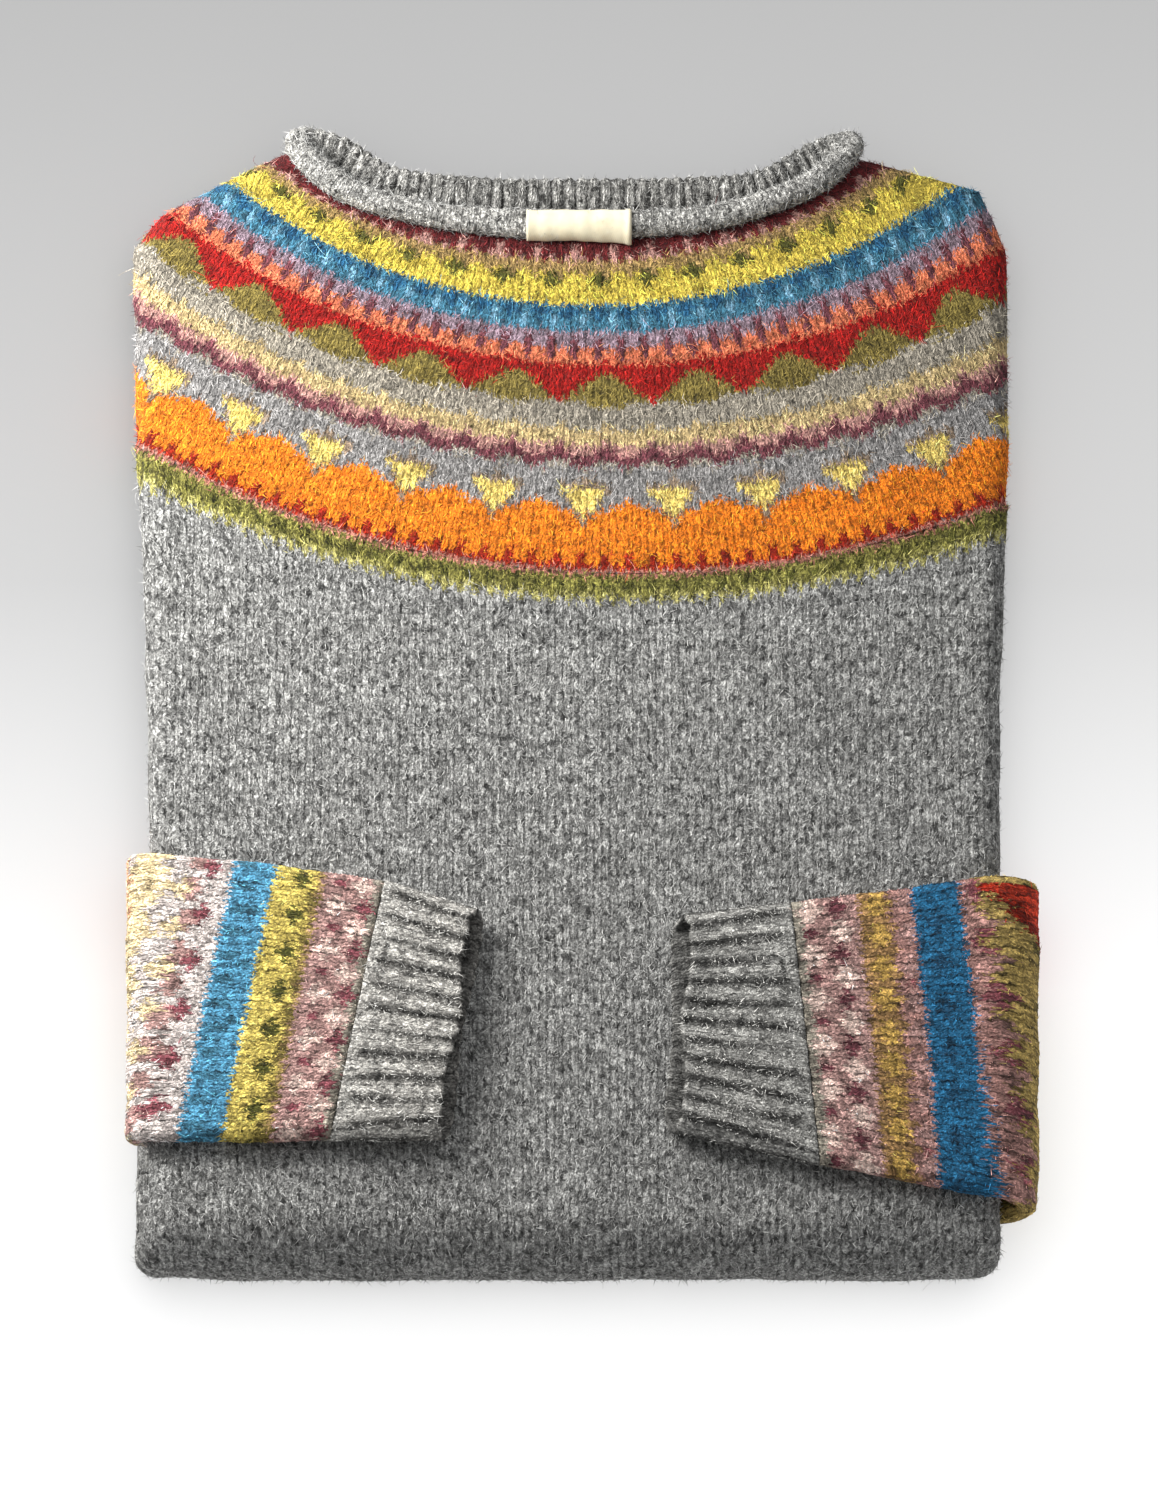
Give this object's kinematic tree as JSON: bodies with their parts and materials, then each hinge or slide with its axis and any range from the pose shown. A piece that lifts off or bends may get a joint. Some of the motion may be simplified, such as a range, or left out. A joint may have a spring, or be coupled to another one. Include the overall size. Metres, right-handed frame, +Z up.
{
  "type": "folded nordic yoke sweater",
  "caption": "Heather-grey wool sweater with a banded colourwork yoke, folded flat with its hem turned under and its patterned sleeves brought to the front.",
  "frame": {"origin": "centre of the footprint of the folded sweater, on the surface it lies on", "axes": "+X to the right as seen from the hem, +Y from the bottom fold to the neck, +Z up from the surface it lies on"},
  "size_m": [0.3914, 0.5314, 0.0621],
  "materials": {
    "grey_wool": "matte heather stocking stitch in brushed wool",
    "yoke_pattern": "matte stranded colourwork in brushed wool",
    "sleeve_pattern": "matte stranded colourwork in brushed wool",
    "grey_rib": "matte ribbing in heather grey wool",
    "label_tape": "smooth woven cotton tape"
  },
  "bodies": {
    "root": {"front_yoke": "yoke_pattern", "front_body": "grey_wool", "hem_rib": "grey_rib", "folded_layers": "grey_wool", "neckband": "grey_rib", "label": "label_tape", "sleeve_left": "sleeve_pattern", "sleeve_right": "sleeve_pattern", "cuff_left": "grey_rib", "cuff_right": "grey_rib"}
  },
  "joints": []
}
